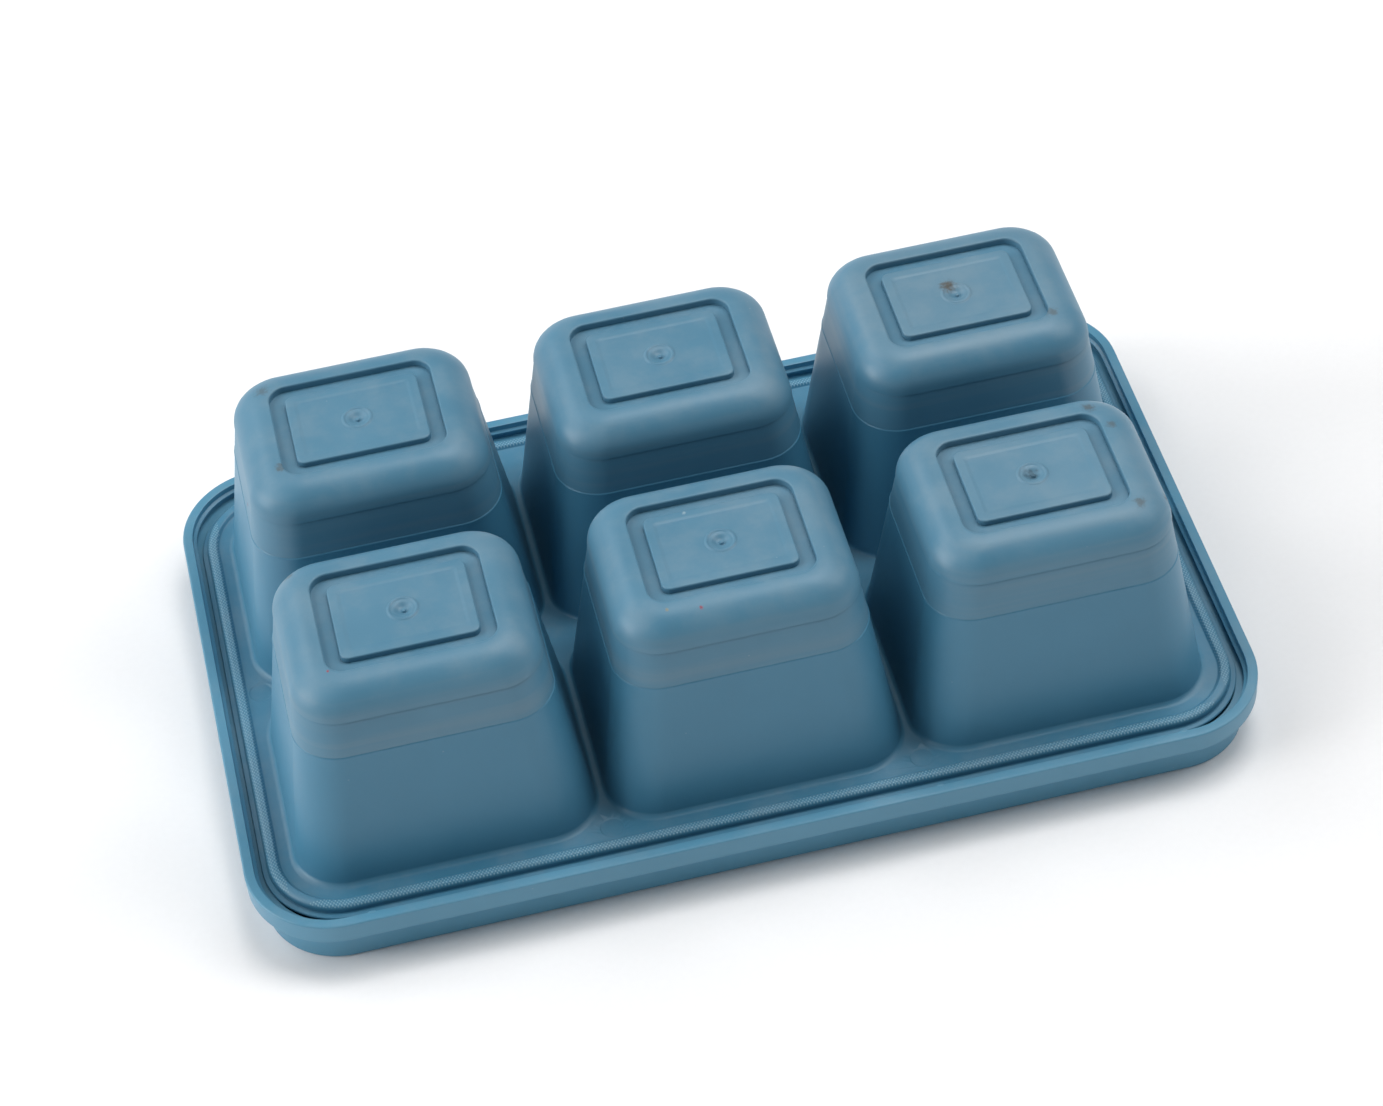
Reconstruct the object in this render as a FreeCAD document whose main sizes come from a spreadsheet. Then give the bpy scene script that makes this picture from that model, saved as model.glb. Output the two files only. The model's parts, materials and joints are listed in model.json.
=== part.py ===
"""Six-cavity mould with push-out soft bases, standing upside down in its own lid.

Frame: +Z up, X along the long side, origin under the middle of the lid.
Millimetres throughout.
"""
import FreeCAD, Part
import Sketcher
import math
import os

doc = FreeCAD.newDocument("mould")
V = FreeCAD.Vector
TOLERANCE = 1e-3
QUARTER_TURN = math.pi / 2

# Driving dimensions, one cell each.
SIZES = {
    # lid
    "lid_length": 170.0,
    "lid_width": 105.6,
    "lid_height": 10.8,
    "lid_corner": 15.0,
    "lid_floor": 1.4,
    "lid_wall": 1.5,
    "band_height": 3.85,        # the upright band round the top of the lid
    "band_wall": 1.75,
    "band_step": 2.2,           # how far the lower wall is set in under the band
    "ledge_height": 7.9,        # where the tray's flange rests inside the band
    "bead_height": 8.9,
    "bead_depth": 0.8,
    "bead_reach": 0.5,
    "lid_foot_round": 0.6,
    "band_edge_round": 0.3,
    # tray plate and perimeter
    "tray_length": 162.2,
    "tray_width": 96.8,
    "tray_corner": 12.5,
    "web_height": 9.3,          # top of the web between the cups
    "plate": 1.5,
    "lip_height": 9.9,
    "lip_width": 2.2,
    "lip_round": 0.9,
    "lip_step_round": 0.3,
    "flange_reach": 1.0,
    "flange_seat": 7.95,
    "flange_depth": 0.45,
    # cups
    "pitch_along": 51.5,
    "pitch_across": 44.6,
    "cup_length": 50.0,         # outside, at the web
    "cup_width": 42.8,
    "cup_corner": 8.5,
    "cup_draft": 0.148,         # inward per unit of height, each side
    "corner_draft": 0.027,
    "cup_wall": 1.5,
    "foot_round": 0.5,
    "seam_height": 35.6,        # where the soft base meets the rigid wall
    "key_height": 3.0,          # thin tongue of the wall inside the soft base
    "key_inset": 0.75,
    # soft bases
    "crown_height": 47.8,
    "crown": 2.0,
    "shoulder_round": 4.5,
    "inner_round": 2.5,
    "moat_length": 27.4,
    "moat_width": 21.1,
    "moat_corner": 3.0,
    "moat_depth": 1.3,
    "web_thickness": 0.7,
    # travelling pads
    "pad_length": 22.4,
    "pad_width": 16.2,
    "pad_corner": 1.4,
    "pad_drop": 0.2,            # pad top below the crown
    "pad_thickness": 2.0,
    "border": 1.6,
    "border_height": 0.12,
    "field_corner": 0.6,
    "gate_ring": 2.75,
    "gate_ring_width": 0.9,
    "gate_ring_height": 0.15,
    "gate_dimple": 1.6,
    "gate_dimple_depth": 0.4,
}

# Columns run along X and rows across Y, seen from the front (-Y).
COLUMNS = {"left": -1, "centre": 0, "right": 1}
ROWS = {"front": -0.5, "back": 0.5}

sheet = doc.addObject("Spreadsheet::Sheet", "sizes")
for row_number, (alias, value) in enumerate(SIZES.items(), start=1):
    cell = "A" + str(row_number)
    sheet.set(cell, str(value))
    sheet.setAlias(cell, alias)
doc.recompute()


def size(alias):
    """A driving dimension, read back from the sheet."""
    return float(getattr(sheet, alias))


# ---------------------------------------------------------------- sketches

def origin_part(body, role):
    """One of the body's own origin planes or axes, found by its role."""
    return next(part for part in body.Origin.OriginFeatures if part.Role == role)


def new_body(label):
    """An empty body whose label is the sub-part's name."""
    body = doc.addObject("PartDesign::Body", label)
    body.Label = label
    return body


def new_sketch(body, height, along="0", across="0"):
    """A level sketch raised to height and moved along X and across Y."""
    sketch = body.newObject("Sketcher::SketchObject", "outline")
    sketch.AttachmentSupport = (origin_part(body, "XY_Plane"), "")
    sketch.MapMode = "FlatFace"
    sketch.setExpression(".AttachmentOffset.Base.x", along)
    sketch.setExpression(".AttachmentOffset.Base.y", across)
    sketch.setExpression(".AttachmentOffset.Base.z", height)
    return sketch


def bind(sketch, constraint, name, expression):
    """Add a dimension to the sketch and tie it to an expression of the sheet."""
    index = sketch.addConstraint(constraint)
    sketch.renameConstraint(index, name)
    sketch.setExpression("Constraints." + name, expression)


def add_rounded_rectangle(sketch, name, outline, start):
    """Draw a centred rounded rectangle.

    outline is its length, width and corner radius as expressions of the sheet,
    and start the same three as rough numbers for the solver to begin from.
    """
    length, width, radius = outline
    half_x, half_y, corner = start[0] / 2, start[1] / 2, start[2]
    flat_x, flat_y = half_x - corner, half_y - corner
    sides = [
        (V(-flat_x, -half_y, 0), V(flat_x, -half_y, 0)),
        (V(half_x, -flat_y, 0), V(half_x, flat_y, 0)),
        (V(flat_x, half_y, 0), V(-flat_x, half_y, 0)),
        (V(-half_x, flat_y, 0), V(-half_x, -flat_y, 0)),
    ]
    centres = [V(flat_x, -flat_y, 0), V(flat_x, flat_y, 0), V(-flat_x, flat_y, 0), V(-flat_x, -flat_y, 0)]
    first = sketch.GeometryCount
    for turn, (side, centre) in enumerate(zip(sides, centres)):
        circle = Part.Circle(centre, V(0, 0, 1), corner)
        sketch.addGeometry(Part.LineSegment(*side), False)
        sketch.addGeometry(
            Part.ArcOfCircle(circle, (turn - 1) * QUARTER_TURN, turn * QUARTER_TURN), False)
    for turn in range(4):
        line = first + 2 * turn
        arc = line + 1
        next_line = first + (2 * turn + 2) % 8
        direction = "Vertical" if turn % 2 else "Horizontal"
        sketch.addConstraint(Sketcher.Constraint("Tangent", line, 2, arc, 1))
        sketch.addConstraint(Sketcher.Constraint("Tangent", arc, 2, next_line, 1))
        sketch.addConstraint(Sketcher.Constraint(direction, line))
        if turn:
            sketch.addConstraint(Sketcher.Constraint("Equal", first + 1, arc))
    sketch.addConstraint(Sketcher.Constraint("Symmetric", first + 1, 3, first + 5, 3, -1, 1))
    bottom, right, top, left = (first + 2 * turn for turn in range(4))
    bind(sketch, Sketcher.Constraint("DistanceX", left, 1, right, 2, 2 * half_x), name + "_length", length)
    bind(sketch, Sketcher.Constraint("DistanceY", bottom, 1, top, 2, 2 * half_y), name + "_width", width)
    bind(sketch, Sketcher.Constraint("Radius", first + 1, corner), name + "_radius", radius)


def add_circle(sketch, name, radius, start):
    """Draw a circle round the sketch's origin; radius is an expression of the sheet."""
    circle = sketch.addGeometry(Part.Circle(V(0, 0, 0), V(0, 0, 1), start), False)
    sketch.addConstraint(Sketcher.Constraint("Coincident", circle, 3, -1, 1))
    bind(sketch, Sketcher.Constraint("Radius", circle, start), name, radius)


# ---------------------------------------------------------------- features

def extrude(body, kind, sketch, length):
    """A Pad (upwards) or Pocket (downwards) of the sketch by an expression."""
    feature = body.newObject("PartDesign::" + kind, kind.lower())
    feature.Profile = sketch
    feature.setExpression("Length", length)
    return feature


def loft(body, kind, sections):
    """An AdditiveLoft or SubtractiveLoft through sketches listed from the bottom up."""
    feature = body.newObject("PartDesign::" + kind, "loft")
    feature.Profile = sections[0]
    feature.Sections = sections[1:]
    feature.Ruled = True
    return feature


def round_edges(body, edges, radius):
    """Round the named edges of the body's last feature."""
    base = body.Tip
    fillet = body.newObject("PartDesign::Fillet", "round")
    fillet.Base = (base, edges)
    fillet.setExpression("Radius", radius)
    doc.recompute()
    return fillet


def loop_edges(body, height, length, width, centre=(0.0, 0.0)):
    """Names of the level edges at height that follow a centred length by width outline."""
    found = []
    for number, edge in enumerate(body.Tip.Shape.Edges, start=1):
        points = [vertex.Point for vertex in edge.Vertexes]
        level = all(abs(point.z - height) < TOLERANCE for point in points)
        reach = [max(abs(point.x - centre[0]) - length / 2, abs(point.y - centre[1]) - width / 2)
                 for point in points]
        if level and all(abs(gap) < TOLERANCE for gap in reach):
            found.append("Edge" + str(number))
    return found


def inset_outline(outline, inset):
    """Move a length, width and radius inwards by an expression (outwards if negative)."""
    length, width, radius = outline
    return (f"{length} - 2 * ({inset})", f"{width} - 2 * ({inset})", f"{radius} - ({inset})")


# ---------------------------------------------------------------- lid

LID_START = (160.0, 100.0, 13.0)


def make_lid():
    """The shallow lid: floor, set-in lower wall, upright band and an inner snap bead."""
    body = new_body("lid")
    band = ("sizes.lid_length", "sizes.lid_width", "sizes.lid_corner")
    lower_wall = inset_outline(band, "sizes.band_step")
    band_inside = inset_outline(band, "sizes.band_wall")
    bead = inset_outline(band, "sizes.band_wall + sizes.bead_reach")
    pan = inset_outline(band, "sizes.band_step + sizes.lid_wall")

    sketch = new_sketch(body, "0")
    add_rounded_rectangle(sketch, "wall", lower_wall, LID_START)
    extrude(body, "Pad", sketch, "sizes.ledge_height")
    doc.recompute()
    foot = loop_edges(body, 0.0, size("lid_length") - 2 * size("band_step"),
                      size("lid_width") - 2 * size("band_step"))
    round_edges(body, foot, "sizes.lid_foot_round")

    sketch = new_sketch(body, "sizes.lid_height - sizes.band_height")
    add_rounded_rectangle(sketch, "band", band, LID_START)
    extrude(body, "Pad", sketch, "sizes.band_height")
    doc.recompute()
    rim = loop_edges(body, size("lid_height"), size("lid_length"), size("lid_width"))
    round_edges(body, rim, "sizes.band_edge_round")

    sketch = new_sketch(body, "sizes.lid_height")
    add_rounded_rectangle(sketch, "inside", band_inside, LID_START)
    extrude(body, "Pocket", sketch, "sizes.lid_height - sizes.ledge_height")
    sketch = new_sketch(body, "sizes.lid_height")
    add_rounded_rectangle(sketch, "pan", pan, LID_START)
    extrude(body, "Pocket", sketch, "sizes.lid_height - sizes.lid_floor")

    sketch = new_sketch(body, "sizes.bead_height")
    add_rounded_rectangle(sketch, "outer", band_inside, LID_START)
    add_rounded_rectangle(sketch, "inner", bead, LID_START)
    extrude(body, "Pad", sketch, "sizes.bead_depth")
    return body


# ---------------------------------------------------------------- tray

CUP_START = (46.0, 38.0, 7.0)


def cup_outline(height, inset="0"):
    """The tapering cup's outline at a height, moved inwards by inset."""
    rise = f"({height} - sizes.web_height)"
    outline = (
        f"sizes.cup_length - 2 * sizes.cup_draft * {rise}",
        f"sizes.cup_width - 2 * sizes.cup_draft * {rise}",
        f"sizes.cup_corner - sizes.corner_draft * {rise}",
    )
    return inset_outline(outline, inset)


def cup_sketch(body, height, inset="0", along="0", across="0"):
    sketch = new_sketch(body, height, along, across)
    add_rounded_rectangle(sketch, "cup", cup_outline(height, inset), CUP_START)
    return sketch


def make_tray_frame():
    """The rigid frame: plate, rounded perimeter lip, outer flange and the six cup walls."""
    body = new_body("tray_frame")
    tray = ("sizes.tray_length", "sizes.tray_width", "sizes.tray_corner")
    flange = inset_outline(tray, "-sizes.flange_reach")
    mouth = "(sizes.web_height - sizes.plate)"
    key_top = "(sizes.seam_height + sizes.key_height)"

    sketch = new_sketch(body, mouth)
    add_rounded_rectangle(sketch, "plate", tray, LID_START)
    extrude(body, "Pad", sketch, "sizes.plate")
    sketch = new_sketch(body, "sizes.flange_seat")
    add_rounded_rectangle(sketch, "outer", tray, LID_START)
    add_rounded_rectangle(sketch, "inner", inset_outline(tray, "sizes.lip_width"), LID_START)
    extrude(body, "Pad", sketch, "sizes.lip_height - sizes.flange_seat")
    doc.recompute()
    step = loop_edges(body, size("lip_height"), size("tray_length") - 2 * size("lip_width"),
                      size("tray_width") - 2 * size("lip_width"))
    round_edges(body, step, "sizes.lip_step_round")
    doc.recompute()
    lip = loop_edges(body, size("lip_height"), size("tray_length"), size("tray_width"))
    round_edges(body, lip, "sizes.lip_round")

    sketch = new_sketch(body, "sizes.flange_seat")
    add_rounded_rectangle(sketch, "flange", flange, LID_START)
    extrude(body, "Pad", sketch, "sizes.flange_depth")

    corner_cup = {"along": "-sizes.pitch_along", "across": "-sizes.pitch_across / 2"}
    outside = loft(body, "AdditiveLoft", [
        cup_sketch(body, mouth, **corner_cup),
        cup_sketch(body, "sizes.seam_height", **corner_cup)])
    key = loft(body, "AdditiveLoft", [
        cup_sketch(body, "sizes.seam_height", "sizes.key_inset", **corner_cup),
        cup_sketch(body, key_top, "sizes.key_inset", **corner_cup)])
    cavity = loft(body, "SubtractiveLoft", [
        cup_sketch(body, mouth, "sizes.cup_wall", **corner_cup),
        cup_sketch(body, key_top, "sizes.cup_wall", **corner_cup)])
    repeat_cups(body, [outside, key, cavity])

    feet = []
    for column in COLUMNS.values():
        for row in ROWS.values():
            centre = (column * size("pitch_along"), row * size("pitch_across"))
            feet += loop_edges(body, size("web_height"), size("cup_length"), size("cup_width"), centre)
    round_edges(body, feet, "sizes.foot_round")
    return body


def repeat_cups(body, features):
    """Repeat the corner cup's features over the grid of cups."""
    grid = body.newObject("PartDesign::MultiTransform", "cups")
    along = doc.addObject("PartDesign::LinearPattern", "along")
    across = doc.addObject("PartDesign::LinearPattern", "across")
    body.addObject(along)
    body.addObject(across)
    along.Direction = (origin_part(body, "X_Axis"), [""])
    along.Occurrences = len(COLUMNS)
    along.setExpression("Length", f"{len(COLUMNS) - 1} * sizes.pitch_along")
    across.Direction = (origin_part(body, "Y_Axis"), [""])
    across.Occurrences = len(ROWS)
    across.setExpression("Length", f"{len(ROWS) - 1} * sizes.pitch_across")
    grid.Originals = features
    grid.Transformations = [along, across]
    body.Tip = grid
    doc.recompute()


# ---------------------------------------------------------------- soft bases

MOAT = ("sizes.moat_length", "sizes.moat_width", "sizes.moat_corner")
MOAT_START = (27.0, 21.0, 3.0)
PAD = ("sizes.pad_length", "sizes.pad_width", "sizes.pad_corner")
PAD_START = (22.0, 16.0, 1.0)


SHOULDER_STEP = 15          # degrees of the rounded shoulder between two sections


def domed_sections(body, foot, top, wall, radius):
    """Sketches up a cup end, from foot to a level top with a rounded shoulder.

    foot, top, wall and radius are expressions: two heights, the inset from the
    cup's outside and the radius of the shoulder.
    """
    sections = [cup_sketch(body, foot, wall)]
    for angle in range(0, 91, SHOULDER_STEP):
        height = f"({top} - {radius} * (1 - sin({angle} deg)))"
        inset = f"{wall} + {radius} * (1 - cos({angle} deg))"
        sections.append(cup_sketch(body, height, inset))
    return sections


def make_soft_base(label):
    """A soft cup end: wall, rounded shoulder and crown, open where the pad travels."""
    body = new_body(label)
    key_top = "(sizes.seam_height + sizes.key_height)"
    ceiling = "(sizes.crown_height - sizes.crown)"

    loft(body, "AdditiveLoft", domed_sections(
        body, "sizes.seam_height", "sizes.crown_height", "0", "sizes.shoulder_round"))
    loft(body, "SubtractiveLoft", domed_sections(
        body, "sizes.seam_height", ceiling, "sizes.cup_wall", "sizes.inner_round"))
    loft(body, "SubtractiveLoft", [
        cup_sketch(body, "sizes.seam_height", "sizes.key_inset"),
        cup_sketch(body, key_top, "sizes.key_inset")])
    sketch = new_sketch(body, "sizes.crown_height")
    add_rounded_rectangle(sketch, "moat", MOAT, MOAT_START)
    extrude(body, "Pocket", sketch, "sizes.crown")
    return body


def make_hinge_web(label):
    """The thin floor of the moat, which stretches as the pad travels."""
    body = new_body(label)
    sketch = new_sketch(body, "sizes.crown_height - sizes.moat_depth - sizes.web_thickness")
    add_rounded_rectangle(sketch, "outer", MOAT, MOAT_START)
    add_rounded_rectangle(sketch, "inner", PAD, PAD_START)
    extrude(body, "Pad", sketch, "sizes.web_thickness")
    return body


def make_press_pad(label):
    """The travelling pad: raised border, shallow field and a moulding-gate mark."""
    body = new_body(label)
    top = "sizes.crown_height - sizes.pad_drop"
    field = "sizes.crown_height - sizes.pad_drop - sizes.border_height"

    sketch = new_sketch(body, "sizes.crown_height - sizes.pad_drop - sizes.pad_thickness")
    add_rounded_rectangle(sketch, "pad", PAD, PAD_START)
    extrude(body, "Pad", sketch, "sizes.pad_thickness")
    sketch = new_sketch(body, top)
    add_rounded_rectangle(
        sketch, "field",
        ("sizes.pad_length - 2 * sizes.border", "sizes.pad_width - 2 * sizes.border", "sizes.field_corner"),
        PAD_START)
    extrude(body, "Pocket", sketch, "sizes.border_height")
    sketch = new_sketch(body, field)
    add_circle(sketch, "ring_outer", "sizes.gate_ring", 3.0)
    add_circle(sketch, "ring_inner", "sizes.gate_ring - sizes.gate_ring_width", 2.0)
    extrude(body, "Pad", sketch, "sizes.gate_ring_height")
    sketch = new_sketch(body, field)
    add_circle(sketch, "dimple", "sizes.gate_dimple", 1.0)
    extrude(body, "Pocket", sketch, "sizes.gate_dimple_depth")
    return body


# ---------------------------------------------------------------- assembly

subparts = [make_lid(), make_tray_frame()]
for row_name, row in ROWS.items():
    for column_name, column in COLUMNS.items():
        place = row_name + "_" + column_name
        centre = V(column * size("pitch_along"), row * size("pitch_across"), 0)
        cup_pieces = [
            make_soft_base("soft_base_" + place),
            make_hinge_web("hinge_web_" + place),
            make_press_pad("press_pad_" + place),
        ]
        for piece in cup_pieces:
            piece.Placement = FreeCAD.Placement(centre, FreeCAD.Rotation())
        subparts += cup_pieces
doc.recompute()

for item in doc.Objects:
    if "Invalid" in item.State or "Error" in item.State:
        raise RuntimeError(item.Name + " did not build: " + str(item.State))
for piece in subparts:
    if piece.Shape.isNull() or not piece.Shape.isValid():
        raise RuntimeError(piece.Label + " has no valid shape")
    if len(piece.Shape.Solids) != 1:
        raise RuntimeError(piece.Label + " is not one solid")

os.makedirs("parts", exist_ok=True)
for piece in subparts:
    piece.Shape.exportStep("parts/" + piece.Label + ".step")
    box = piece.Shape.BoundBox
    print(f"{piece.Label}: {box.XLength:.2f} x {box.YLength:.2f} x {box.ZLength:.2f} mm, "
          f"{piece.Shape.Volume:.1f} mm3")
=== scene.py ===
"""A six-cup soap mould standing upside down on its lid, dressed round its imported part."""

import json
import logging
import math
from contextlib import contextmanager
from dataclasses import astuple, dataclass
from enum import Enum
from typing import Iterator, Sequence

import bmesh
import bpy
from mathutils import Matrix, Vector

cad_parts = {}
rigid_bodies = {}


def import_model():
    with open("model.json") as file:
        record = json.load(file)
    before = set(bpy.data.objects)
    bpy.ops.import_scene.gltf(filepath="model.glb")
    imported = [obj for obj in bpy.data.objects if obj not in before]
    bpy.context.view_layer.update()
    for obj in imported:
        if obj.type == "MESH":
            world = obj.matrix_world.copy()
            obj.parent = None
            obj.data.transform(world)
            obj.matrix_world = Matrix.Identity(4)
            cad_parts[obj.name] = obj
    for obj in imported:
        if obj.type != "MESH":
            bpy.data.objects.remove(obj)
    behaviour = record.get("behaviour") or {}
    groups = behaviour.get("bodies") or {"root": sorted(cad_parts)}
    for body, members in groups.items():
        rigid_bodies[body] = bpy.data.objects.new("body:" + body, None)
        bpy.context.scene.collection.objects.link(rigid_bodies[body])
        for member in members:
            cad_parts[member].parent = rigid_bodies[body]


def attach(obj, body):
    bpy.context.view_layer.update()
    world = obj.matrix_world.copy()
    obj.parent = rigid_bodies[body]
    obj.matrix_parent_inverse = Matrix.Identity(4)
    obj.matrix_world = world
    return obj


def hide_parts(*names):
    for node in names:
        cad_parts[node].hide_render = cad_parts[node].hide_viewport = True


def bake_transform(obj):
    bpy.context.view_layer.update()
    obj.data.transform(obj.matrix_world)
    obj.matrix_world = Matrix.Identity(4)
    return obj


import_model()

LOG = logging.getLogger("soap_mould")
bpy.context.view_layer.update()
MM = 0.001

Colour = tuple[float, float, float]
Material = bpy.types.Material
Piece = bpy.types.Object
Socket = bpy.types.NodeSocket
Tree = bpy.types.NodeTree

MERGE_GAP = 0.002 * MM
LEAST_CORNER = 0.05
NO_MOVE = 1e-6
SMOOTH_ANGLE = math.radians(40.0)

# Painted highlight: a pale tint laid on the crossed tool traces along the tray's lip, where they catch the
# light.
RIB_HIGHLIGHT_TINT = (0.24, 0.44, 0.55)
STREAK_TINT = (0.16, 0.25, 0.31)
DUST_TINT = (0.30, 0.36, 0.39)
SPECK_TINT = (0.55, 0.60, 0.62)
DIRT = (0.075, 0.06, 0.04)
RED_FLECK = (0.30, 0.05, 0.08)


class Row(Enum):
    """The two rows of cups, and the side of the mould each one lies on."""

    FRONT = -1
    BACK = 1


class Column(Enum):
    """The three columns of cups, and their steps from the middle."""

    LEFT = -1
    CENTRE = 0
    RIGHT = 1


# ---- modelling


def deselect_all() -> None:
    """Leave no object selected, so that an operator acts on new work alone."""
    for piece in bpy.context.view_layer.objects:
        piece.select_set(False)


def choose(piece: Piece) -> None:
    """Make one piece the selected and active one."""
    deselect_all()
    piece.select_set(True)
    bpy.context.view_layer.objects.active = piece


@contextmanager
def editing(piece: Piece) -> Iterator[None]:
    """Open one piece for editing with all of it selected, and close it afterwards."""
    choose(piece)
    bpy.ops.object.mode_set(mode="EDIT")
    bpy.ops.mesh.select_all(action="SELECT")
    yield
    bpy.ops.object.mode_set(mode="OBJECT")


def quarter_turn(steps: int, first: int = 0) -> list[float]:
    """The angles of even steps round a right angle, from the first step on."""
    return [math.pi / 2 * step / steps for step in range(first, steps + 1)]


@dataclass(frozen=True)
class Outline:
    """A rounded rectangle seen from above: its four sides and its corner radius, in mm."""

    left: float
    right: float
    front: float
    back: float
    corner: float

    @classmethod
    def sized(cls, length: float, width: float, corner: float) -> "Outline":
        """A rounded rectangle about the middle, of that length and width."""
        return cls(-length / 2, length / 2, -width / 2, width / 2, corner)

    def inset(self, by: float, corner: float | None = None) -> "Outline":
        """The outline moved inwards on all sides.

        Args:
            by: How far in, and outwards where it is negative.
            corner: The new corner radius, if it isn't the old one less the inset.

        Returns:
            The new outline.
        """
        radius = max(self.corner - by, LEAST_CORNER) if corner is None else corner
        return Outline(self.left + by, self.right - by, self.front + by, self.back - by, radius)

    def grown(self, left: float, right: float, front: float, back: float) -> "Outline":
        """The outline with each side moved outwards by its own amount.

        Args:
            left: Growth towards -X.
            right: Growth towards +X.
            front: Growth towards -Y.
            back: Growth towards +Y.

        Returns:
            The new outline, its corners grown by the least of the four.
        """
        least = min(left, right, front, back)
        return Outline(self.left - left, self.right + right, self.front - front,
                       self.back + back, self.corner + least)

    def centre_of_corner(self, east: bool, north: bool) -> Vector:
        """The centre of one corner's arc, with no height."""
        x = self.right - self.corner if east else self.left + self.corner
        y = self.back - self.corner if north else self.front + self.corner
        return Vector((x, y, 0.0))


class Skin:
    """A moulded skin, drawn level by level out of one rounded rectangle."""

    def __init__(self, name: str, outline: Outline, height: float, centre: Sequence[float] = (0.0, 0.0),
                 steps: int = 10, capped: bool = False) -> None:
        """Lay the first outline down.

        Args:
            name: The new piece's name.
            outline: The first outline, in mm from the piece's centre.
            height: Its height in mm.
            centre: The piece's centre in plan, in mm.
            steps: Segments in each rounded corner.
            capped: True to keep a face across the first outline.
        """
        self.centre = Vector((centre[0], centre[1], 0.0))
        self.outline = outline
        self.height = height
        deselect_all()
        bpy.ops.mesh.primitive_plane_add(size=1.0, location=(0.0, 0.0, 0.0))
        self.piece = bpy.context.object
        self.piece.name = name
        self.piece.data.name = name
        bpy.ops.object.mode_set(mode="EDIT")
        bpy.ops.mesh.select_mode(type="VERT")
        size = ((outline.right - outline.left) * MM, (outline.back - outline.front) * MM, 1.0)
        middle = Vector(((outline.left + outline.right) / 2, (outline.front + outline.back) / 2, height))
        bpy.ops.transform.resize(value=size, center_override=(0.0, 0.0, 0.0))
        bpy.ops.transform.translate(value=(self.centre + middle) * MM)
        bpy.ops.mesh.bevel(offset=outline.corner * MM, segments=steps, affect="VERTICES")
        if not capped:
            bpy.ops.mesh.select_all(action="SELECT")
            bpy.ops.mesh.delete(type="ONLY_FACE")
        bpy.ops.mesh.select_all(action="SELECT")

    def level(self, outline: Outline, height: float) -> None:
        """Draw the skin on to its next level.

        Args:
            outline: The next outline.
            height: Its height in mm.
        """
        bpy.ops.mesh.extrude_region_move(
            TRANSFORM_OT_translate={"value": (0.0, 0.0, (height - self.height) * MM)})
        self._reshape(outline)
        self.height = height

    def levels(self, *steps: tuple[Outline, float]) -> None:
        """Draw the skin on through several levels, each an outline and its height."""
        for outline, height in steps:
            self.level(outline, height)

    def _reshape(self, outline: Outline) -> None:
        """Move and scale the four corners of the newest loop on to a new outline."""
        mesh = self.piece.data
        sheet = bmesh.from_edit_mesh(mesh)
        loop = [point for point in sheet.verts if point.select]
        middle_x = self.centre.x + (self.outline.left + self.outline.right) / 2
        middle_y = self.centre.y + (self.outline.front + self.outline.back) / 2
        quarters = {
            (east, north): [point for point in loop
                            if (point.co.x > middle_x * MM) == east and (point.co.y > middle_y * MM) == north]
            for east in (False, True) for north in (False, True)}
        ratio = outline.corner / self.outline.corner
        for (east, north), points in quarters.items():
            bpy.ops.mesh.select_all(action="DESELECT")
            for point in points:
                point.select = True
            sheet.select_flush_mode()
            bmesh.update_edit_mesh(mesh, loop_triangles=False)
            old = self.outline.centre_of_corner(east, north)
            new = outline.centre_of_corner(east, north)
            if abs(ratio - 1) > NO_MOVE:
                bpy.ops.transform.resize(value=(ratio, ratio, 1.0), center_override=(self.centre + old) * MM)
            if (new - old).length > NO_MOVE:
                bpy.ops.transform.translate(value=(new - old) * MM)
        for point in loop:
            point.select = True
        sheet.select_flush_mode()
        bmesh.update_edit_mesh(mesh, loop_triangles=False)
        self.outline = outline

    def cap(self) -> None:
        """Close the newest loop with one level face."""
        bpy.ops.mesh.edge_face_add()

    def done(self) -> Piece:
        """Leave edit mode with doubles merged and give the piece."""
        bpy.ops.mesh.select_all(action="SELECT")
        bpy.ops.mesh.remove_doubles(threshold=MERGE_GAP)
        bpy.ops.object.mode_set(mode="OBJECT")
        return self.piece


class Turned:
    """A small round feature, drawn ring by ring out of one circle."""

    POINTS = 36

    def __init__(self, name: str, radius: float, height: float, centre: Sequence[float]) -> None:
        """Lay the first ring down.

        Args:
            name: The new piece's name.
            radius: The first ring's radius in mm.
            height: Its height in mm.
            centre: Its centre in plan, in mm.
        """
        self.radius = radius
        self.height = height
        self.centre = Vector((centre[0], centre[1], height)) * MM
        deselect_all()
        bpy.ops.mesh.primitive_circle_add(vertices=self.POINTS, radius=radius * MM, fill_type="NOTHING",
                                          location=(0.0, 0.0, 0.0))
        self.piece = bpy.context.object
        self.piece.name = name
        self.piece.data.name = name
        bpy.ops.object.mode_set(mode="EDIT")
        bpy.ops.mesh.select_mode(type="VERT")
        bpy.ops.mesh.select_all(action="SELECT")
        bpy.ops.transform.translate(value=self.centre)

    def ring(self, radius: float, height: float, shift: Sequence[float] = (0.0, 0.0)) -> None:
        """Draw the next ring.

        Args:
            radius: Its radius in mm.
            height: Its height in mm.
            shift: How far its centre moves in plan, in mm.
        """
        move = Vector((shift[0], shift[1], height - self.height)) * MM
        bpy.ops.mesh.extrude_region_move(TRANSFORM_OT_translate={"value": move})
        self.centre = self.centre + move
        ratio = radius / self.radius
        bpy.ops.transform.resize(value=(ratio, ratio, 1.0), center_override=self.centre)
        self.radius = radius
        self.height = height

    def done(self) -> Piece:
        """Close the last ring to a face and give the piece."""
        bpy.ops.mesh.edge_face_add()
        bpy.ops.object.mode_set(mode="OBJECT")
        return self.piece


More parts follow.
